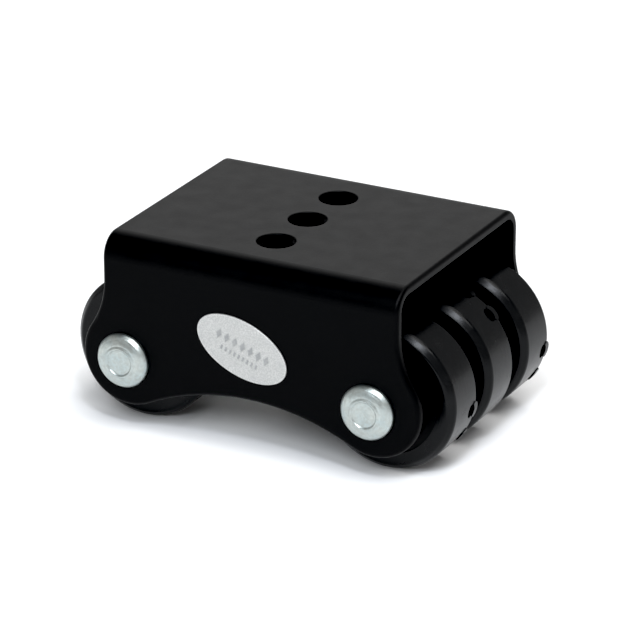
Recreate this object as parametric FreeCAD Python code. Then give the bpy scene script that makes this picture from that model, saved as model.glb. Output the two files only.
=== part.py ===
import FreeCAD, Part
import math
import os

# Fixed twin-axle roller: a pressed steel channel over two riveted axles, three wheels on each.
# Millimetres.  X is the rolling direction, Y runs along the axles, Z is up.
# The origin is on the ground, midway between the two axles and midway across the channel.
# An outline of something turned about an axle is written as (radius, y) points.

# ---- Driving dimensions ----------------------------------------------------------------
wheel_radius = 25.0
axle_spacing = 91.0
top_above_axle = 43.0

channel_length = 109.0
channel_width = 89.2
channel_shift = 1.5            # the pressing's outline sits this far to +X of its own holes
sheet = 3.0
bend_inner_radius = 5.0
outer_edge_round = 1.4         # blanked edges on the outside of the pressing, well rounded
inner_edge_round = 0.4

ear_radius = 17.0
ear_rise = 1.0                 # ear centre above the axle line
flare_radius = 30.0            # hollow curve from the square end down to the ear
arch_crown = -5.3              # top of the lower arch, from the axle line

mount_hole_radius = 6.5
mount_hole_pitch = 22.0
mount_hole_count = 3
mount_hole_round = 0.5         # the coated edges of the holes

shank_radius = 5.0
head_radius = 9.5
head_height = 3.4
head_rim = 0.9                 # straight edge under the dome
head_cap_middle = (6.7, 2.72)  # points on the formed head: radius, height above the flange
head_cap_end = (8.0, 2.35)     # the flat dome ends here and rolls over to the edge
head_roll_middle = (8.9, 1.8)
head_ring_radius = 4.8         # raised ring left by the forming tool
head_ring_width = 1.2
head_dish = 0.45               # flat middle of the formed head, below the ring's crest
dimple_radius = 1.1
dimple_depth = 0.3

sleeve_radius = 7.0
sleeve_bore_clearance = 0.05
running_clearance = 0.08
washer_radius = 11.0
washer_thickness = 0.8
washer_bore_clearance = 0.15
side_play = 0.1                # gap at each face of a wheel hub
wheels_per_axle = 3

hub_radius = 11.5
web_thickness = 6.0
rim_inner_radius = 16.2
rim_outer_radius = 19.0
rim_setback = 0.6              # the core's rim stands back from the tyre's side faces
key_radius = 20.6              # ridge of the core that the tyre is moulded over
key_width = 6.0
rib_count = 6
rib_thickness = 2.2
core_edge_chamfer = 0.4

tyre_front = -5.5              # side faces of the tyre, from the middle of the hub
tyre_back = 11.4
shoulder_chamfer = 2.0         # 45 degree shoulder on the tyre's front side
shoulder_round = 1.6
back_edge_round = 0.35

pit_across = 8.5               # moulding pits in the tread, from the middle of the hub
pit_length = 5.0
pit_width = 3.8
pit_depth = 1.6
pit_count = 3
pit_step_angle = 25.0
lip_across = 10.8              # raised lip behind each pit, past the back of the tyre
lip_length = 5.8
lip_width = 3.4
lip_rise = 0.35
lip_root = 1.4
seam_angle = 8.0               # parting line, past the first pit
seam_height = 0.08
seam_width = 0.3
seam_root = 0.4

plate_length = 34.6
plate_width = 19.7
plate_thickness = 0.5
plate_tilt = 20.9
plate_x = -0.6
plate_above_axle = 12.9

# ---- Worked out from them --------------------------------------------------------------
axle_height = wheel_radius
top_height = axle_height + top_above_axle
half_width = channel_width / 2
half_length = channel_length / 2
inner_width = channel_width - 2 * sheet
washer_count = wheels_per_axle + 1
free_width = inner_width - washer_count * washer_thickness
hub_width = free_width / wheels_per_axle - 2 * side_play
wheel_pitch = hub_width + washer_thickness + 2 * side_play
tyre_middle = (tyre_front + tyre_back) / 2

sides = {"left": -1, "right": 1}
rows = {"front": -1, "middle": 0, "rear": 1}

# Every wheel has stopped at its own angle: degrees from +X up to the first pit of its tyre.
rest_angles = {
    "left_front": 150.0,
    "left_middle": 75.0,
    "left_rear": 20.0,
    "right_front": -61.0,
    "right_middle": 45.0,
    "right_rear": -60.0,
}

MARGIN = 10.0                  # how far a cutting tool runs past what it cuts
DIAGONAL = math.sqrt(0.5)
HALF_OF_45 = math.radians(45 / 2)
TANGENT = 0.9                  # two faces meet smoothly when their normals' product is above this
ORIGIN = FreeCAD.Vector(0, 0, 0)
ALONG_Y = FreeCAD.Vector(0, 1, 0)
ALONG_Z = FreeCAD.Vector(0, 0, 1)


def line(start, end):
    return Part.LineSegment(start, end).toShape()


def arc(start, middle, end):
    return Part.Arc(start, middle, end).toShape()


def around(centre, radius, degrees):
    """A point on a circle that is seen from the front, in the XZ plane."""
    angle = math.radians(degrees)
    return centre + radius * FreeCAD.Vector(math.cos(angle), 0, math.sin(angle))


def turned(start, *steps):
    """Solid turned about the Y axis.  A step is a (radius, y) point, or two for an arc."""
    edges = []
    last = FreeCAD.Vector(*start, 0)
    for step in steps:
        if isinstance(step[0], tuple):
            middle = FreeCAD.Vector(*step[0], 0)
            end = FreeCAD.Vector(*step[1], 0)
            edges.append(arc(last, middle, end))
        else:
            end = FreeCAD.Vector(*step, 0)
            edges.append(line(last, end))
        last = end
    edges.append(line(last, FreeCAD.Vector(*start, 0)))
    return Part.Face(Part.Wire(edges)).revolve(ORIGIN, ALONG_Y, 360)


def ring(outer, inner, start, length):
    """Plain ring about the Y axis, from y = start."""
    return turned((inner, start), (outer, start), (outer, start + length), (inner, start + length))


def placed(shape, x, y, z):
    moved = shape.copy()
    moved.translate(FreeCAD.Vector(x, y, z))
    return moved


def half_outline():
    """Right half of the channel's side view, from the top edge's middle to the arch's crown."""
    ear = FreeCAD.Vector(axle_spacing / 2, 0, ear_rise)
    crown_drop = ear_rise - arch_crown
    arch_radius = (crown_drop**2 + ear.x**2 - ear_radius**2) / (2 * (ear_radius - crown_drop))
    arch_centre = FreeCAD.Vector(0, 0, arch_crown - arch_radius)
    flare_across = half_length + flare_radius - ear.x
    flare_up = math.sqrt((flare_radius + ear_radius)**2 - flare_across**2)
    flare_centre = ear + FreeCAD.Vector(flare_across, 0, flare_up)

    flare_turn = math.degrees(math.atan2(flare_up, flare_across))
    arch_turn = math.degrees(math.atan2(arch_centre.z - ear.z, -ear.x))
    top_middle = FreeCAD.Vector(0, 0, top_above_axle)
    top_corner = FreeCAD.Vector(half_length, 0, top_above_axle)
    flare_start = around(flare_centre, flare_radius, 180)
    flare_end = around(ear, ear_radius, flare_turn)
    ear_end = around(ear, ear_radius, arch_turn)
    crown = FreeCAD.Vector(0, 0, arch_crown)
    arch_mid_angle = (90 + 180 + arch_turn) / 2
    return [
        line(top_middle, top_corner),
        line(top_corner, flare_start),
        arc(flare_start, around(flare_centre, flare_radius, 180 + flare_turn / 2), flare_end),
        arc(flare_end, around(ear, ear_radius, (flare_turn + arch_turn) / 2), ear_end),
        arc(ear_end, around(arch_centre, arch_radius, arch_mid_angle), crown),
    ]


def channel_blank():
    """The bent sheet before its outline is cut: an upside-down U along X."""
    def section(half, top, radius):
        low = -MARGIN - ear_radius
        left_low = FreeCAD.Vector(0, -half, low)
        right_low = FreeCAD.Vector(0, half, low)
        left_bend = FreeCAD.Vector(0, -half, top - radius)
        right_bend = FreeCAD.Vector(0, half, top - radius)
        left_top = FreeCAD.Vector(0, radius - half, top)
        right_top = FreeCAD.Vector(0, half - radius, top)
        reach = radius * DIAGONAL
        left_mid = FreeCAD.Vector(0, radius - half - reach, top - radius + reach)
        right_mid = FreeCAD.Vector(0, half - radius + reach, top - radius + reach)
        wire = Part.Wire([
            line(left_low, left_bend),
            arc(left_bend, left_mid, left_top),
            line(left_top, right_top),
            arc(right_top, right_mid, right_bend),
            line(right_bend, right_low),
            line(right_low, left_low),
        ])
        return Part.Face(wire)

    outside = section(half_width, top_above_axle, bend_inner_radius + sheet)
    inside = section(half_width - sheet, top_above_axle - sheet, bend_inner_radius)
    reach = axle_spacing + 2 * MARGIN
    blank = outside.cut(inside).extrude(FreeCAD.Vector(2 * reach, 0, 0))
    return placed(blank, -reach, 0, 0)


def skin_depth(point):
    """How far a point lies below the outer surface of the bent sheet, before it is raised."""
    radius = bend_inner_radius + sheet
    across = max(0.0, abs(point.y) - (half_width - radius))
    up = max(0.0, point.z - (top_above_axle - radius))
    return radius - math.hypot(across, up)


def outline_edges(shape, outside):
    """Sharp edges along the sheet's outline, on the outside or the inside of the pressing."""
    chosen = []
    for edge in shape.Edges:
        faces = shape.ancestorsOfType(edge, Part.Face)
        is_outside = skin_depth(edge_middle(edge)) < sheet / 2
        if is_outside == outside and len(faces) == 2 and not_tangent(edge, faces):
            chosen.append(edge)
    return chosen


def edge_middle(edge):
    return edge.valueAt((edge.FirstParameter + edge.LastParameter) / 2)


def mount_hole_edges(shape):
    closed = [edge for edge in shape.Edges if isinstance(edge.Curve, Part.Circle) and edge.isClosed()]
    return [edge for edge in closed if abs(edge.Curve.Radius - mount_hole_radius) < mount_hole_round]


def not_tangent(edge, faces):
    middle = edge_middle(edge)
    normals = []
    for face in faces:
        u, v = face.Surface.parameter(middle)
        normals.append(face.normalAt(u, v))
    return abs(normals[0].dot(normals[1])) < TANGENT


def bracket():
    right = Part.Wire(half_outline())
    left = right.mirror(ORIGIN, FreeCAD.Vector(1, 0, 0))
    outline = Part.Wire(Part.__sortEdges__(right.Edges + left.Edges))
    prism = Part.Face(outline).extrude(FreeCAD.Vector(0, channel_width + 2 * MARGIN, 0))
    prism.translate(FreeCAD.Vector(0, -half_width - MARGIN, 0))
    shape = channel_blank().common(prism)
    shape = shape.removeSplitter()
    shape = shape.makeFillet(outer_edge_round, outline_edges(shape, outside=True))
    shape = shape.makeFillet(inner_edge_round, outline_edges(shape, outside=False))
    shape = placed(shape, channel_shift, 0, axle_height)

    for index in range(mount_hole_count):
        y = (index - (mount_hole_count - 1) / 2) * mount_hole_pitch
        start = FreeCAD.Vector(0, y, top_height - MARGIN)
        shape = shape.cut(Part.makeCylinder(mount_hole_radius, 2 * MARGIN, start, ALONG_Z))
    shape = shape.makeFillet(mount_hole_round, mount_hole_edges(shape))
    for side in sides.values():
        start = FreeCAD.Vector(side * axle_spacing / 2, -channel_width, axle_height)
        shape = shape.cut(Part.makeCylinder(shank_radius, 2 * channel_width, start, ALONG_Y))
    return shape


def dome(rim_radius, rise, radius):
    """Height above its rim of a round dome, at a distance from its axis."""
    sphere = (rim_radius**2 + rise**2) / (2 * rise)
    return math.sqrt(sphere**2 - radius**2) - (sphere - rise)


def axle_rivet(has_dimple):
    """Solid rivet: formed head in front, plain factory head behind."""
    ring_in = head_ring_radius - head_ring_width / 2
    ring_out = head_ring_radius + head_ring_width / 2
    rise = head_height - head_rim
    face = -half_width
    back = half_width
    crest = face - head_height
    disc = crest + head_dish
    if has_dimple:
        dimple_mid = dimple_radius / 2
        dimple_hollow = dome(dimple_radius, dimple_depth, dimple_mid)
        steps = [((dimple_mid, disc + dimple_hollow), (dimple_radius, disc))]
        start = (0, disc + dimple_depth)
    else:
        steps = []
        start = (0, disc)
    cap_middle, cap_end, roll_middle = (
        (radius, face - height) for radius, height in (head_cap_middle, head_cap_end, head_roll_middle))
    back_mid = head_radius / 2
    back_bulge = dome(head_radius, rise, back_mid)
    return turned(
        start,
        *steps,
        (ring_in, disc),
        ((head_ring_radius, crest), (ring_out, disc)),
        (cap_middle, cap_end),
        (roll_middle, (head_radius, face - head_rim)),
        (head_radius, face),
        (shank_radius, face),
        (shank_radius, back),
        (head_radius, back),
        (head_radius, back + head_rim),
        ((back_mid, back + head_rim + back_bulge), (0, back + head_height)),
    )


def axle_sleeve():
    bore = shank_radius + sleeve_bore_clearance
    return ring(sleeve_radius, bore, -inner_width / 2, inner_width)


def washer(index):
    """Flat washer: the outer two lie on the flanges, the others part the hubs."""
    if index == 0:
        start = -inner_width / 2
    elif index == washer_count - 1:
        start = inner_width / 2 - washer_thickness
    else:
        start = (index - wheels_per_axle / 2) * wheel_pitch - washer_thickness / 2
    return ring(washer_radius, sleeve_radius + washer_bore_clearance, start, washer_thickness)


def wheel_core():
    """Moulded core: hub, web with ribs, and a rim with the ridge that keys the tyre."""
    bore = sleeve_radius + running_clearance
    half_hub = hub_width / 2
    chamfer = core_edge_chamfer
    hub = turned(
        (bore, -half_hub),
        (hub_radius - chamfer, -half_hub),
        (hub_radius, chamfer - half_hub),
        (hub_radius, half_hub - chamfer),
        (hub_radius - chamfer, half_hub),
        (bore, half_hub),
    )
    web_front = tyre_middle - web_thickness / 2
    web = ring(rim_inner_radius + chamfer, hub_radius - chamfer, web_front, web_thickness)
    rim_front = tyre_front + rim_setback
    rim_back = tyre_back - rim_setback
    rim = ring(rim_outer_radius, rim_inner_radius, rim_front, rim_back - rim_front)
    key = ring(key_radius, rim_outer_radius - chamfer, tyre_middle - key_width / 2, key_width)
    core = hub.fuse([web, rim, key])
    rib_length = rim_inner_radius - hub_radius + 2 * chamfer
    rib_front = rim_front + rim_setback
    rib_depth = rim_back - rim_setback - rib_front
    rib_corner = FreeCAD.Vector(hub_radius - chamfer, rib_front, -rib_thickness / 2)
    rib = Part.makeBox(rib_length, rib_depth, rib_thickness, rib_corner)
    for index in range(rib_count):
        spoke = rib.copy()
        spoke.rotate(ORIGIN, ALONG_Y, index * 360 / rib_count)
        core = core.fuse(spoke)
    return core.removeSplitter()


def plain_tyre():
    """Tyre moulded round the core's rim: a rounded shoulder in front, a crisp edge behind."""
    setback = shoulder_round * math.tan(HALF_OF_45)
    slope = setback * DIAGONAL
    low = shoulder_round * math.sin(HALF_OF_45)
    high = shoulder_round * math.cos(HALF_OF_45)
    inner_corner = wheel_radius - shoulder_chamfer
    outer_corner = tyre_front + shoulder_chamfer
    key_front = tyre_middle - key_width / 2
    key_back = tyre_middle + key_width / 2
    edge = back_edge_round
    edge_mid = edge * (1 - DIAGONAL)
    return turned(
        (rim_outer_radius, tyre_front),
        (inner_corner - setback, tyre_front),
        ((inner_corner - setback + low, tyre_front + shoulder_round - high),
         (inner_corner + slope, tyre_front + slope)),
        (wheel_radius - slope, outer_corner - slope),
        ((wheel_radius - shoulder_round + high, outer_corner + setback - low),
         (wheel_radius, outer_corner + setback)),
        (wheel_radius, tyre_back - edge),
        ((wheel_radius - edge_mid, tyre_back - edge_mid), (wheel_radius - edge, tyre_back)),
        (rim_outer_radius, tyre_back),
        (rim_outer_radius, key_back),
        (key_radius, key_back),
        (key_radius, key_front),
        (rim_outer_radius, key_front),
    )


def oval_prism(length, width, height):
    """Upright prism on the XY plane, its oval outline longest along X."""
    oval = Part.Face(Part.Wire(Part.Ellipse(ORIGIN, length / 2, width / 2).toShape()))
    return oval.extrude(FreeCAD.Vector(0, 0, height))


def tyre():
    """Tyre with its moulding pits and parting line, the first pit towards +X."""
    shape = plain_tyre()
    pit = oval_prism(pit_length, pit_width, pit_depth + MARGIN)
    pit = placed(pit, 0, pit_across, wheel_radius - pit_depth)
    lip = oval_prism(lip_length, lip_width, 2 * MARGIN)
    lip = placed(lip, 0, lip_across, wheel_radius - MARGIN)
    lip_band = ring(wheel_radius + lip_rise, wheel_radius - lip_root, 0, 2 * lip_across)
    lip = lip.common(lip_band)
    for index in range(pit_count):
        turn = 90 - index * pit_step_angle
        cut = pit.copy()
        cut.rotate(ORIGIN, ALONG_Y, turn)
        rim = lip.copy()
        rim.rotate(ORIGIN, ALONG_Y, turn)
        shape = shape.fuse(rim).cut(cut)
    seam_start = tyre_front + shoulder_chamfer + shoulder_round
    seam_end = tyre_back - 2 * back_edge_round
    corner = FreeCAD.Vector(-seam_width / 2, seam_start, wheel_radius - seam_root)
    seam = Part.makeBox(seam_width, seam_end - seam_start, seam_root + seam_height, corner)
    seam.rotate(ORIGIN, ALONG_Y, 90 - seam_angle)
    return shape.fuse(seam)


def oval_plate():
    """Thin oval plate on the front flange, tilted down to the right."""
    plate = oval_prism(plate_length, plate_width, plate_thickness)
    plate.rotate(ORIGIN, FreeCAD.Vector(1, 0, 0), 90)
    plate.rotate(ORIGIN, ALONG_Y, plate_tilt)
    return placed(plate, plate_x, -half_width, axle_height + plate_above_axle)


def build_all():
    nodes = {"bracket": bracket(), "oval_plate": oval_plate()}
    core = wheel_core()
    tread = tyre()
    for side, sign in sides.items():
        x = sign * axle_spacing / 2
        nodes["axle_rivet_" + side] = placed(axle_rivet(side == "right"), x, 0, axle_height)
        nodes["axle_sleeve_" + side] = placed(axle_sleeve(), x, 0, axle_height)
        for index in range(washer_count):
            name = "washer_%s_%d" % (side, index + 1)
            nodes[name] = placed(washer(index), x, 0, axle_height)
        for row, place in rows.items():
            wheel = side + "_" + row
            for name, shape in (("wheel_core_", core), ("tyre_", tread)):
                copy = shape.copy()
                copy.rotate(ORIGIN, ALONG_Y, -rest_angles[wheel])
                nodes[name + wheel] = placed(copy, x, place * wheel_pitch, axle_height)
    return nodes


os.makedirs("parts", exist_ok=True)
for node, shape in build_all().items():
    if not shape.isValid() or len(shape.Solids) != 1:
        raise ValueError("%s is not one valid solid" % node)
    shape.Solids[0].exportStep("parts/%s.step" % node)
    box = shape.BoundBox
    print("%-24s %9.1f mm3  x %7.2f %7.2f  y %7.2f %7.2f  z %7.2f %7.2f" % (
        node, shape.Volume, box.XMin, box.XMax, box.YMin, box.YMax, box.ZMin, box.ZMax))
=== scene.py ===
import bpy
import bmesh
import math
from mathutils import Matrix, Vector, noise


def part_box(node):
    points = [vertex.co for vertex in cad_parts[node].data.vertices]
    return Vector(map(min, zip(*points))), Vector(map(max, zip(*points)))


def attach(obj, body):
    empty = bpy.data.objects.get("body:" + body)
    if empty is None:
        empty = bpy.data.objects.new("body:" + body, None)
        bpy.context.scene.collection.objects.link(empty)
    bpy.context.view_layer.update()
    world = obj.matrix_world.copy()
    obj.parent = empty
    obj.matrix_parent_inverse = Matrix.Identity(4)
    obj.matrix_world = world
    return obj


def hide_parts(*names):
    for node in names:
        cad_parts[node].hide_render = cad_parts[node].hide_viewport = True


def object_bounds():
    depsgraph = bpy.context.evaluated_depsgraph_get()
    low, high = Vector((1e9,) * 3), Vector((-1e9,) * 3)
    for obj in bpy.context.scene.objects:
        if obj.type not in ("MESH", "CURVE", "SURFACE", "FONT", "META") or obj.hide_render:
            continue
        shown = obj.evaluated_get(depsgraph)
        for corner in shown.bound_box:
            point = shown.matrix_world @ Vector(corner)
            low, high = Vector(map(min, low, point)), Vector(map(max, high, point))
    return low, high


# Looks of a black twin-axle roller: powder-coated channel, zinc rivets, black moulded wheels.
# Metres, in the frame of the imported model: X rolls, Y runs along the axles, Z is up.
# Noise scales are per metre, so 1000 gives grain of about a millimetre.

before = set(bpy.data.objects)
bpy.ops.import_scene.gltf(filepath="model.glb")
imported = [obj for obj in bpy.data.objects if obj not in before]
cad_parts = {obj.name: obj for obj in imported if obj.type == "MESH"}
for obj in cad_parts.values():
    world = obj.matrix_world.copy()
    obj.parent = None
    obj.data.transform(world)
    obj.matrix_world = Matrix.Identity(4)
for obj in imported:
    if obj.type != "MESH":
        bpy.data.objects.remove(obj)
cad_low, cad_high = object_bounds()

MM = 0.001

# ---- Camera ----------------------------------------------------------------------------
camera_azimuth = 27.93         # degrees to +X from looking along +Y
camera_elevation = 22.64
camera_distance = 1.3817       # from the point that the camera turns about
camera_target_up = 0.03578     # that point is above the origin by this much
aim_right = 2.40 * MM          # the view's middle, from that point
aim_up = -2.11 * MM
camera_lens = 235.8            # millimetres, and so is the sensor
camera_sensor = 36.0
camera_clip = (0.05, 100)

# ---- Light -----------------------------------------------------------------------------
horizon_glow = 0.45            # brightness of the studio at eye level
overhead_glow = 0.07           # and overhead
horizon_top = 0.46             # sine of the elevation where the glow starts to fade
overhead_start = 0.78          # and where the fade ends
front_share = 1.35             # the room in front is this many times as bright as the backdrop
front_start = 0.1              # Y of the direction where that starts
front_end = -0.85              # and where it is reached
gap_share = 0.08               # straight in front the room is dark, with this share of the glow
gap_start = -0.85              # Y of the direction where the gap starts
gap_end = -0.97                # and where it is darkest
floor_tone = 0.95
floor_reach = 30.0             # half its side
floor_gap = 0.02 * MM          # the floor lies this far below the wheels
black_level = 0.0075           # the tone curve shows what is darker than this as black
cool_white = (0.90, 0.95, 1.0)
cooler_white = (0.86, 0.91, 1.0)
white = (1.0, 1.0, 1.0)

# ---- Rivet heads, millimetres ----------------------------------------------------------
head_radius = 9.5
head_height = 3.4
head_rim = 0.9                 # straight part at the head's edge
head_chamfer = 0.10            # where that meets the flange
cap_middle = (7.1, 2.74)       # points on the formed head: radius, height above the flange
cap_end = (8.0, 2.35)          # the flat dome ends here and rolls over to the edge
roll_middle = (8.9, 1.8)
shank_radius = 5.0
crest_radius = 4.9             # top of the raised ring on the formed head
disc_radius = 4.1              # flat middle inside the ring
disc_depth = 0.42              # below the ring's top
foot_radius = 6.0              # outer foot of the ring
foot_height = 3.03
dimple_radius = 1.3            # in the middle of the right-hand head
dimple_depth = 0.12
rim_round = 0.25               # edge of the plain head
rim_fall = 0.10
lathe_segments = 160
forging_waviness = 0.035       # unevenness left by the forming tool
waviness_scale = 0.35          # per millimetre
waviness_offset = 90           # per metre of the axle's X, so that the two rivets differ

# ---- Oval plate, millimetres -----------------------------------------------------------
plate_half_length = 17.3
plate_half_width = 9.85
plate_tilt = 20.9              # degrees, right end down
plate_thickness = 0.5
plate_edge_round = 0.16
border_width = 0.60
border_inner_blend = 0.25      # the step down to the field starts and ends this far from there
border_outer_blend = 0.10
border_step = 0.05             # the field lies this far below the border
stipple_height = 0.10
stipple_size = 0.50
stipple_film = 0.25            # share of the grey film in the hollows of the stipple
stamped_film = 0.80            # and in the stamped pattern
wall_film = 0.60               # and on the plate's edge
lozenge_count = 7
lozenge_pitch = 3.1
lozenge_half_length = 1.2
lozenge_half_width = 2.2
lozenge_row = 0.9              # the row of lozenges lies this far above the middle
lozenge_depth = 0.10
lozenge_softness = (1.15, 0.65)    # the slope's start and end, in shares of the half sizes
bar_count = 9
bar_pitch = 1.7
bar_half_length = 0.42
bar_half_width = 0.85
bar_row = -3.1
bar_softness = (1.25, 0.65)
plate_rings = 84
plate_crowding = 0.9           # below 1, the rings of the mesh crowd towards the plate's edge
plate_segments = 360

# ---- Metals ----------------------------------------------------------------------------
zinc_tint = (0.49, 0.525, 0.50)
zinc_roughness = 0.35
inner_tint = (0.52, 0.54, 0.55)
inner_roughness = 0.36
blue_cast = (0.86, 0.94, 1.0)  # factors on the tint in the bluish clouds
grey_share = 0.78              # and in the dull specks and marks
worn_gain = 1.18               # and on the edges

# ---- Names -----------------------------------------------------------------------------
sides = ("left", "right")
rows = ("front", "middle", "rear")


def middle_of(node):
    low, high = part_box(node)
    return (low + high) / 2


axle_centre = {side: middle_of("axle_sleeve_" + side) for side in sides}


# ---- Materials -------------------------------------------------------------------------
class Shader:
    """A material with a Principled shader, and short calls to add nodes to it."""

    def __init__(self, name, colour, roughness, metallic=0.0, specular=0.5):
        self.material = bpy.data.materials.new(name)
        self.material.use_nodes = True
        self.tree = self.material.node_tree
        self.surface = self.tree.nodes["Principled BSDF"]
        self.surface.inputs["Base Color"].default_value = (*colour, 1)
        self.surface.inputs["Roughness"].default_value = roughness
        self.surface.inputs["Metallic"].default_value = metallic
        self.surface.inputs["Specular IOR Level"].default_value = specular

    def add(self, kind, settings=None, **inputs):
        """A new node; an input is a number, a colour, a vector or another node's output."""
        node = self.tree.nodes.new("ShaderNode" + kind)
        for key, value in (settings or {}).items():
            setattr(node, key, value)
        for key, value in inputs.items():
            self.feed(node.inputs[key.replace("_", " ")], value)
        return node

    def feed(self, socket, value):
        if isinstance(value, bpy.types.NodeSocket):
            self.tree.links.new(value, socket)
        else:
            socket.default_value = value

    def place(self):
        return self.add("TexCoord").outputs["Object"]

    def noise(self, place, scale, detail):
        return self.add("TexNoise", None, Vector=place, Scale=scale, Detail=detail).outputs[0]

    def calc(self, first, operation, second):
        """One step of arithmetic on two numbers, each a plain one or another node's output."""
        node = self.add("Math", {"operation": operation})
        self.feed(node.inputs[0], first)
        self.feed(node.inputs[1], second)
        return node.outputs[0]

    def spread(self, value, start, end, low, high):
        """Maps start..end of a value to low..high, and holds it there."""
        node = self.add("MapRange", None, Value=value, From_Min=start, From_Max=end)
        node.inputs["To Min"].default_value = low
        node.inputs["To Max"].default_value = high
        return node.outputs[0]

    def blend(self, amount, first, second):
        """Mixes two colours, each a triple or another node's output."""
        node = self.add("Mix", {"data_type": "RGBA"})
        self.feed(node.inputs[0], amount)
        for socket, colour in ((node.inputs[6], first), (node.inputs[7], second)):
            self.feed(socket, (*colour, 1) if isinstance(colour, tuple) else colour)
        return node.outputs[2]

    def polar(self, centre):
        """Position round an axle as (angle, y, radius), in radians and metres."""
        moved = self.add("VectorMath", {"operation": "SUBTRACT"})
        self.feed(moved.inputs[0], self.place())
        self.feed(moved.inputs[1], tuple(centre))
        split = self.add("SeparateXYZ", None, Vector=moved.outputs[0])
        x, y, z = split.outputs
        angle = self.calc(z, "ARCTAN2", x)
        squares = self.calc(self.calc(x, "POWER", 2.0), "ADD", self.calc(z, "POWER", 2.0))
        radius = self.calc(squares, "POWER", 0.5)
        return angle, y, radius

    def stretched(self, angle, y, radius, along, across):
        """Coordinates for streaks that run round an axle."""
        node = self.add("CombineXYZ")
        self.feed(node.inputs[0], self.calc(angle, "MULTIPLY", along))
        self.feed(node.inputs[1], self.calc(y, "MULTIPLY", across))
        self.feed(node.inputs[2], self.calc(radius, "MULTIPLY", across))
        return node.outputs[0]

    def edges(self, radius, start=0.995, end=0.93):
        """1 near a sharp or rounded edge, 0 away from it.

        start and end are cosines of the angle by which rounding would turn the surface.
        """
        smooth = self.add("Bevel", {"samples": 6}, Radius=radius)
        true = self.add("NewGeometry").outputs["Normal"]
        product = self.add("VectorMath", {"operation": "DOT_PRODUCT"})
        self.feed(product.inputs[0], smooth.outputs[0])
        self.feed(product.inputs[1], true)
        return self.spread(product.outputs["Value"], start, end, 0.0, 1.0)

    def bump(self, *layers):
        """Stacks bumps, each a (height, distance in metres) pair."""
        below = None
        for height, distance in layers:
            node = self.add("Bump", None, Height=height, Distance=distance)
            if below is not None:
                self.feed(node.inputs["Normal"], below)
            below = node.outputs[0]
        self.feed(self.surface.inputs["Normal"], below)

    def finish(self, colour=None, roughness=None):
        if colour is not None:
            self.feed(self.surface.inputs["Base Color"], colour)
        if roughness is not None:
            self.feed(self.surface.inputs["Roughness"], roughness)
        return self.material


def powder_coat():
    """Satin black powder coat: soft mottling, orange peel, thin and worn on the edges, where the
    lighter colour is partly wear and partly a painted highlight.
    """
    shader = Shader("powder_coat", (0.005, 0.005, 0.005), 0.42, specular=0.07)
    place = shader.place()
    mottle = shader.noise(place, 150.0, 4.0)
    peel = shader.noise(place, 900.0, 2.0)
    grain = shader.noise(place, 4200.0, 2.0)
    rub = shader.noise(place, 420.0, 5.0)
    edge = shader.edges(0.55 * MM)
    # lighter colour on the edges: partly rubbed wear, partly a painted highlight standing for the
    # glint of the rounded edges
    lighter_edges = shader.calc(edge, "MULTIPLY", shader.spread(rub, 0.40, 0.62, 0.15, 1.0))
    body = shader.blend(mottle, (0.0012, 0.0013, 0.0014), (0.0020, 0.0020, 0.0022))
    colour = shader.blend(lighter_edges, body, (0.010, 0.0102, 0.0105))
    gloss = shader.spread(mottle, 0.32, 0.68, 0.385, 0.43)
    fine = shader.spread(grain, 0.3, 0.7, -0.02, 0.02)
    shader.bump((peel, 0.012 * MM), (grain, 0.004 * MM))
    return shader.finish(colour, shader.calc(gloss, "ADD", fine))


def tyre_rubber(side):
    """Moulded black tyre: fine grain, faint rings from the mould, patches of lighter dust."""
    shader = Shader("tyre_rubber_" + side, (0.003, 0.003, 0.003), 0.24, specular=0.17)
    place = shader.place()
    angle, y, radius = shader.polar(axle_centre[side])
    rings = shader.noise(shader.stretched(angle, y, radius, 1.2, 1500.0), 1.0, 2.0)
    smear = shader.noise(shader.stretched(angle, y, radius, 7.0, 260.0), 1.0, 4.0)
    grain = shader.noise(place, 3600.0, 3.0)
    dust = shader.noise(place, 260.0, 5.0)
    edge = shader.edges(0.3 * MM)
    body = shader.blend(smear, (0.0020, 0.0022, 0.0025), (0.0036, 0.0038, 0.0041))
    dusty = shader.blend(
        shader.spread(dust, 0.55, 0.80, 0.0, 0.5), body, (0.0075, 0.0077, 0.0080))
    lighter_edges = shader.calc(edge, "MULTIPLY", shader.spread(grain, 0.35, 0.6, 0.2, 0.8))
    colour = shader.blend(lighter_edges, dusty, (0.0080, 0.0082, 0.0085))
    gloss = shader.spread(smear, 0.3, 0.7, 0.21, 0.28)
    shader.bump((rings, 0.012 * MM), (grain, 0.006 * MM))
    return shader.finish(colour, gloss)


def core_plastic():
    """Black moulded plastic with a faint spark-eroded grain and flow marks."""
    shader = Shader("core_plastic", (0.006, 0.006, 0.006), 0.5, specular=0.10)
    place = shader.place()
    flow = shader.noise(place, 70.0, 5.0)
    grain = shader.noise(place, 2600.0, 3.0)
    edge = shader.edges(0.4 * MM)
    body = shader.blend(flow, (0.0030, 0.0030, 0.0031), (0.0050, 0.0050, 0.0052))
    colour = shader.blend(edge, body, (0.009, 0.009, 0.0095))
    gloss = shader.spread(flow, 0.3, 0.7, 0.42, 0.56)
    shader.bump((grain, 0.010 * MM))
    return shader.finish(colour, gloss)


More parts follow.
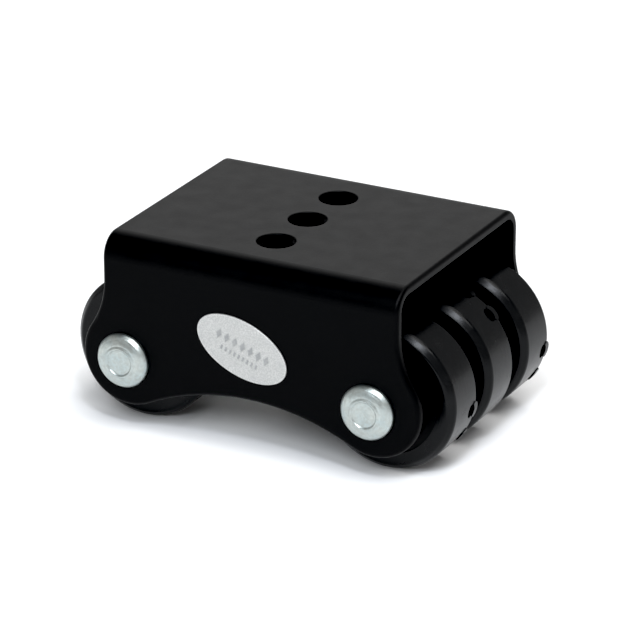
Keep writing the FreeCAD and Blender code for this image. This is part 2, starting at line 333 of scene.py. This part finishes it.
def zinc(side, name, tint, dull):
    """Zinc plate of that tint and middling roughness: clouds, specks and marks round the axle."""
    shader = Shader(name + "_" + side, tint, 0.3, metallic=1.0)
    place = shader.place()
    angle, y, radius = shader.polar(axle_centre[side])
    marks = shader.noise(shader.stretched(angle, y, radius, 2.5, 1300.0), 1.0, 4.0)
    cloud = shader.noise(place, 240.0, 4.0)
    speck = shader.noise(place, 950.0, 4.0)
    edge = shader.edges(0.35 * MM)
    blue = tuple(channel * factor for channel, factor in zip(tint, blue_cast))
    grey = tuple(channel * grey_share for channel in tint)
    bright = tuple(min(1.0, channel * worn_gain) for channel in tint)
    body = shader.blend(shader.spread(cloud, 0.35, 0.65, 0.0, 1.0), tint, blue)
    spotted = shader.blend(shader.spread(speck, 0.46, 0.66, 0.0, 0.75), body, grey)
    brushed = shader.blend(shader.spread(marks, 0.36, 0.64, 0.0, 0.5), spotted, grey)
    colour = shader.blend(shader.calc(edge, "MULTIPLY", 0.5), brushed, bright)
    gloss = shader.spread(cloud, 0.3, 0.7, dull - 0.04, dull + 0.05)
    streak = shader.spread(marks, 0.3, 0.7, -0.03, 0.04)
    shader.bump((cloud, 0.12 * MM), (marks, 0.010 * MM), (speck, 0.035 * MM))
    return shader.finish(colour, shader.calc(gloss, "ADD", streak))


def plate_metal():
    """Matt stamped aluminium: the low parts of the stamping hold a grey film."""
    shader = Shader("plate_metal", (0.7, 0.7, 0.7), 0.5, metallic=1.0)
    place = shader.place()
    low = shader.add("Attribute", {"attribute_name": "hollow"}).outputs["Fac"]
    cloud = shader.noise(place, 300.0, 4.0)
    grain = shader.noise(place, 5200.0, 3.0)
    speck = shader.noise(place, 2300.0, 3.0)
    pale = shader.blend(cloud, (0.53, 0.535, 0.52), (0.69, 0.69, 0.675))
    body = shader.blend(shader.spread(speck, 0.38, 0.62, 0.0, 1.0), (0.49, 0.495, 0.485), pale)
    film = shader.spread(cloud, 0.3, 0.7, 0.7, 1.0)
    colour = shader.blend(shader.calc(low, "MULTIPLY", film), body, (0.26, 0.27, 0.275))
    gloss = shader.spread(grain, 0.3, 0.7, 0.46, 0.58)
    shader.bump((grain, 0.005 * MM))
    return shader.finish(colour, gloss)


def paint(node, material):
    """Gives a CAD node its material."""
    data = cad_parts[node].data
    data.materials.clear()
    data.materials.append(material)


# ---- Pieces in mesh code ---------------------------------------------------------------
def finished(mesh, name, material, node):
    """Makes a piece of the mesh that stands for a CAD node of the fixed body."""
    mesh.update()
    mesh.validate()
    mesh.shade_smooth()
    mesh.materials.append(material)
    piece = bpy.data.objects.new(name, mesh)
    bpy.context.scene.collection.objects.link(piece)
    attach(piece, "root")
    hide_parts(node)


def arc_through(first, middle, last, count):
    """Points along the circle through three (radius, y) points, without the first."""
    (ax, ay), (bx, by), (cx, cy) = first, middle, last
    twice = 2 * (ax * (by - cy) + bx * (cy - ay) + cx * (ay - by))
    a, b, c = ax**2 + ay**2, bx**2 + by**2, cx**2 + cy**2
    ux = (a * (by - cy) + b * (cy - ay) + c * (ay - by)) / twice
    uy = (a * (cx - bx) + b * (ax - cx) + c * (bx - ax)) / twice
    radius = math.hypot(ax - ux, ay - uy)
    start = math.atan2(ay - uy, ax - ux)
    end = math.atan2(cy - uy, cx - ux)
    half = math.atan2(by - uy, bx - ux)
    turn = math.remainder(end - start, math.tau)
    toward = math.remainder(half - start, math.tau)
    if turn * toward < 0:
        turn -= math.copysign(math.tau, turn)
    points = []
    for index in range(1, count + 1):
        angle = start + turn * index / count
        points.append((ux + radius * math.cos(angle), uy + radius * math.sin(angle)))
    return points


def straight(first, last, count):
    """Points along a straight line, without the first."""
    points = []
    for index in range(1, count + 1):
        share = index / count
        points.append((
            first[0] + (last[0] - first[0]) * share,
            first[1] + (last[1] - first[1]) * share,
        ))
    return points


def dome_height(rim_radius, rise, radius):
    """Height of a spherical dome above its rim, at this radius."""
    sphere = (rim_radius**2 + rise**2) / (2 * rise)
    return math.sqrt(sphere**2 - radius**2) - (sphere - rise)


def smooth_step(value, start, end):
    """0 up to the start and 1 from the end on, with an even slope between them."""
    share = min(1.0, max(0.0, (value - start) / (end - start)))
    return share * share * (3 - 2 * share)


def eased(first, last, count):
    """Points along a slope that starts and ends level, without the first."""
    points = []
    for index in range(1, count + 1):
        share = index / count
        radius = first[0] + (last[0] - first[0]) * share
        points.append((radius, first[1] + (last[1] - first[1]) * smooth_step(share, 0.0, 1.0)))
    return points


def formed_head(face, has_dimple):
    """Profile of the closed head from its middle to the flange, as (radius, y) in millimetres."""
    crest = face - head_height
    disc = crest + disc_depth
    if has_dimple:
        points = [(0.0, disc + dimple_depth)]
        hollow = dome_height(dimple_radius, dimple_depth, dimple_radius / 2)
        edge = (dimple_radius, disc)
        points += arc_through(points[-1], (dimple_radius / 2, disc + hollow), edge, 8)
    else:
        points = [(0.0, disc)]
        points += straight(points[-1], (dimple_radius, disc), 3)
    points += straight(points[-1], (disc_radius, disc), 6)
    points += eased(points[-1], (crest_radius, crest), 16)
    points += eased(points[-1], (foot_radius, face - foot_height), 12)
    middle, end, roll = (
        (radius, face - height) for radius, height in (cap_middle, cap_end, roll_middle))
    points += arc_through(points[-1], middle, end, 14)
    points += arc_through(end, roll, (head_radius, face - head_rim), 20)
    points += straight(points[-1], (head_radius, face - head_chamfer), 3)
    points += straight(points[-1], (head_radius - head_chamfer, face), 1)
    return points


def factory_head(back):
    """Profile of the plain round head behind, from the flange to its middle."""
    rim = back + head_rim
    rise = head_height - head_rim
    points = [(head_radius - head_chamfer, back)]
    points += straight(points[-1], (head_radius, back + head_chamfer), 1)
    points += straight(points[-1], (head_radius, rim - rim_round), 3)
    points += straight(points[-1], (head_radius - rim_round, rim + rim_fall), 3)
    half = head_radius / 2
    points += arc_through(
        points[-1], (half, rim + dome_height(head_radius, rise, half)), (0.0, rim + rise), 24)
    return points


def skinned(mesh, loops, count, name):
    """Joins rings of vertices, of which some are one vertex, into a closed mesh."""
    for first, second in zip(loops, loops[1:]):
        for index in range(count):
            following = (index + 1) % count
            if len(first) == 1:
                corners = [first[0], second[index], second[following]]
            elif len(second) == 1:
                corners = [first[index], second[0], first[following]]
            else:
                corners = [first[index], second[index], second[following], first[following]]
            mesh.faces.new(corners)
    bmesh.ops.recalc_face_normals(mesh, faces=mesh.faces)
    data = bpy.data.meshes.new(name)
    mesh.to_mesh(data)
    mesh.free()
    return data


def lathe(profile, centre):
    """Mesh of a (radius, y) profile turned about the axle, with a slight unevenness."""
    mesh = bmesh.new()
    ends = [profile[0], profile[-1]]
    loops = []
    for radius, y in profile:
        if (radius, y) in ends:
            loops.append([mesh.verts.new((centre.x, centre.y + y * MM, centre.z))])
            continue
        loop = []
        for index in range(lathe_segments):
            angle = math.tau * index / lathe_segments
            spot = Vector((math.cos(angle), 0, math.sin(angle))) * radius
            sample = spot + Vector((centre.x * waviness_offset, y, 0))
            uneven = 0.5 + 0.5 * noise.noise(sample * waviness_scale)
            shrink = 1 - forging_waviness * uneven / max(radius, 1.0)
            spot = spot * shrink + Vector((0, y, 0))
            loop.append(mesh.verts.new(centre + spot * MM))
        loops.append(loop)
    return skinned(mesh, loops, lathe_segments, "lathe")


def make_rivet(side, material):
    """Formed head in front, shank and plain head behind, in one closed mesh."""
    flange_low, flange_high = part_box("bracket")
    face = flange_low.y / MM
    back = flange_high.y / MM
    profile = formed_head(face, side == "right")
    profile += [(shank_radius, face), (shank_radius, back)]
    profile += factory_head(back)
    centre = Vector((axle_centre[side].x, 0, axle_centre[side].z))
    mesh = lathe(profile, centre)
    finished(mesh, "rivet_" + side, material, "axle_rivet_" + side)


def plate_pattern(along, up):
    """How deep the generic pattern is stamped here, 0 to 1: a row of lozenges, one of bars."""
    depth = 0.0
    for index in range(lozenge_count):
        across = abs(along - (index - (lozenge_count - 1) / 2) * lozenge_pitch)
        size = across / lozenge_half_length + abs(up - lozenge_row) / lozenge_half_width
        depth = max(depth, smooth_step(size, *lozenge_softness))
    for index in range(bar_count):
        across = abs(along - (index - (bar_count - 1) / 2) * bar_pitch)
        size = max(across / bar_half_length, abs(up - bar_row) / bar_half_width)
        depth = max(depth, smooth_step(size, *bar_softness))
    return depth


def plate_height(along, up, inset):
    """Height of the plate's front above the flange, and how much grey film it holds there."""
    field = smooth_step(
        inset, border_width - border_outer_blend, border_width + border_inner_blend)
    stamped = field * plate_pattern(along, up)
    grain = 0.5 + 0.5 * noise.noise(Vector((along, up, 0)) / stipple_size)
    height = plate_thickness - border_step * field
    height += stipple_height * field * grain * (1 - stamped)
    height -= lozenge_depth * stamped
    rounding = max(0.0, plate_edge_round - inset) / plate_edge_round
    height -= plate_edge_round * (1 - math.sqrt(max(0.0, 1 - rounding**2)))
    hollow = max(stamped * stamped_film, field * stipple_film * (1 - grain))
    return height, hollow


def make_plate(material):
    """Oval plate in rings of vertices: the front from its middle outwards, the edge, the back."""
    low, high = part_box("oval_plate")
    centre = (low + high) / 2
    flange = high.y
    tilt = math.radians(plate_tilt)
    long_way = Vector((math.cos(tilt), 0, -math.sin(tilt)))
    short_way = Vector((math.sin(tilt), 0, math.cos(tilt)))
    mesh = bmesh.new()
    hollow_layer = mesh.verts.layers.float.new("hollow")

    def vertex(along, up, height, hollow):
        place = Vector((centre.x, flange, centre.z)) + (along * long_way + up * short_way) * MM
        place.y -= height * MM
        new = mesh.verts.new(place)
        new[hollow_layer] = hollow
        return new

    loops = []
    for ring in range(plate_rings + 1):
        share = math.sin(0.5 * math.pi * ring / plate_rings) ** plate_crowding
        loop = []
        for index in range(plate_segments if ring else 1):
            angle = math.tau * index / plate_segments
            rim_along = plate_half_length * math.cos(angle)
            rim_up = plate_half_width * math.sin(angle)
            inset = (1 - share) * math.hypot(rim_along, rim_up)
            height, hollow = plate_height(share * rim_along, share * rim_up, inset)
            loop.append(vertex(share * rim_along, share * rim_up, height, hollow))
        loops.append(loop)
    wall = []
    for index in range(plate_segments):
        angle = math.tau * index / plate_segments
        rim_along = plate_half_length * math.cos(angle)
        rim_up = plate_half_width * math.sin(angle)
        wall.append(vertex(rim_along, rim_up, 0.0, wall_film))
    loops.append(wall)
    loops.append([vertex(0.0, 0.0, 0.0, 0.0)])
    data = skinned(mesh, loops, plate_segments, "oval_plate_stamped")
    finished(data, "plate_stamped", material, "oval_plate")


# ---- Stage -----------------------------------------------------------------------------
def towards(azimuth, elevation):
    """Unit vector from the object: azimuth 0 is in front (-Y) and 90 is to the right (+X)."""
    a = math.radians(azimuth)
    e = math.radians(elevation)
    return Vector((math.sin(a) * math.cos(e), -math.cos(a) * math.cos(e), math.sin(e)))


def make_camera():
    """Camera at the angles above, aimed a little off the point that it turns about."""
    azimuth = math.radians(camera_azimuth)
    back = towards(camera_azimuth, camera_elevation)
    right = Vector((math.cos(azimuth), math.sin(azimuth), 0))
    up = back.cross(right)
    target = Vector((0, 0, camera_target_up))
    place = target + camera_distance * back
    aim = target + aim_right * right + aim_up * up
    data = bpy.data.cameras.new("camera")
    data.lens = camera_lens
    data.sensor_width = camera_sensor
    data.clip_start, data.clip_end = camera_clip
    camera = bpy.data.objects.new("camera", data)
    camera.location = place
    camera.rotation_mode = "QUATERNION"
    camera.rotation_quaternion = (aim - place).to_track_quat("-Z", "Y")
    bpy.context.scene.collection.objects.link(camera)
    bpy.context.scene.camera = camera


def make_floor():
    """Pale floor just below the wheels."""
    mesh = bpy.data.meshes.new("floor")
    reach = floor_reach
    corners = [(-reach, -reach, 0), (reach, -reach, 0), (reach, reach, 0), (-reach, reach, 0)]
    mesh.from_pydata(corners, [], [(0, 1, 2, 3)])
    floor = bpy.data.objects.new("floor", mesh)
    floor.location.z = cad_low.z - floor_gap
    bpy.context.scene.collection.objects.link(floor)
    shader = Shader("floor_pale", (floor_tone, floor_tone, floor_tone), 0.9, specular=0.0)
    mesh.materials.append(shader.material)


def make_world():
    """Pale studio that darkens overhead, brighter in front with a dark gap in the middle."""
    world = bpy.data.worlds.new("studio")
    world.use_nodes = True
    tree = world.node_tree
    background = tree.nodes["Background"]
    coordinates = tree.nodes.new("ShaderNodeTexCoord")
    split = tree.nodes.new("ShaderNodeSeparateXYZ")
    ramp = tree.nodes.new("ShaderNodeValToRGB")
    strength = tree.nodes.new("ShaderNodeMath")
    strength.operation = "MULTIPLY"
    tree.links.new(coordinates.outputs["Generated"], split.inputs[0])
    tree.links.new(split.outputs["Z"], ramp.inputs[0])
    tree.links.new(ramp.outputs[0], background.inputs["Color"])
    tree.links.new(strength.outputs[0], background.inputs["Strength"])
    shares = ((front_end, front_start, front_share), (gap_end, gap_start, gap_share))
    for factor, (full, none, share) in zip(strength.inputs, shares):
        facing = tree.nodes.new("ShaderNodeMapRange")
        tree.links.new(split.outputs["Y"], facing.inputs["Value"])
        tree.links.new(facing.outputs[0], factor)
        facing.inputs["From Min"].default_value = full
        facing.inputs["From Max"].default_value = none
        facing.inputs["To Min"].default_value = share
        facing.inputs["To Max"].default_value = 1.0
    fade = ((horizon_top, horizon_glow), (overhead_start, overhead_glow))
    for element, (position, glow) in zip(ramp.color_ramp.elements, fade):
        element.position = position
        element.color = (glow, glow, glow, 1)
    bpy.context.scene.world = world


def area_light(name, azimuth, elevation, distance, width, height, power, colour):
    """Rectangle facing the object from that direction."""
    data = bpy.data.lights.new(name, "AREA")
    data.shape = "RECTANGLE"
    data.size = width
    data.size_y = height
    data.energy = power
    data.color = colour
    light = bpy.data.objects.new(name, data)
    direction = towards(azimuth, elevation)
    light.location = middle_of("bracket") + distance * direction
    light.rotation_mode = "QUATERNION"
    light.rotation_quaternion = direction.to_track_quat("Z", "Y")
    bpy.context.scene.collection.objects.link(light)


def sun(name, azimuth, elevation, spread, strength):
    """Light from one direction, as soft as a disc that spreads over this many degrees."""
    data = bpy.data.lights.new(name, "SUN")
    data.energy = strength
    data.angle = math.radians(spread)
    light = bpy.data.objects.new(name, data)
    light.rotation_mode = "QUATERNION"
    light.rotation_quaternion = towards(azimuth, elevation).to_track_quat("Z", "Y")
    bpy.context.scene.collection.objects.link(light)


paint("bracket", powder_coat())
plastic = core_plastic()
for side in sides:
    rubber = tyre_rubber(side)
    inner_zinc = zinc(side, "zinc_inner", inner_tint, inner_roughness)
    for row in rows:
        paint("tyre_%s_%s" % (side, row), rubber)
        paint("wheel_core_%s_%s" % (side, row), plastic)
    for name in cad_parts:
        if name.startswith(("axle_sleeve_" + side, "washer_" + side)):
            paint(name, inner_zinc)
    outer_zinc = zinc(side, "zinc", zinc_tint, zinc_roughness)
    paint("axle_rivet_" + side, outer_zinc)
    make_rivet(side, outer_zinc)
stamped_metal = plate_metal()
paint("oval_plate", stamped_metal)
make_plate(stamped_metal)

make_camera()
make_floor()
make_world()
sun("overhead", azimuth=62, elevation=68, spread=40, strength=1.8)
area_light(
    "front_window", azimuth=10, elevation=37, distance=0.8,
    width=0.24, height=0.30, power=3.0, colour=cool_white)
area_light(
    "side_window", azimuth=31, elevation=51, distance=0.8,
    width=0.12, height=0.12, power=2.0, colour=cooler_white)
area_light(
    "back_card", azimuth=-150, elevation=31, distance=1.6,
    width=1.0, height=1.15, power=4.5, colour=white)
area_light(
    "top_card", azimuth=165, elevation=60, distance=1.6,
    width=0.9, height=0.7, power=5.0, colour=white)

view = bpy.context.scene.view_settings
view.view_transform = "Standard"
view.look = "None"
view.use_curve_mapping = True
view.curve_mapping.black_level = (black_level, black_level, black_level)
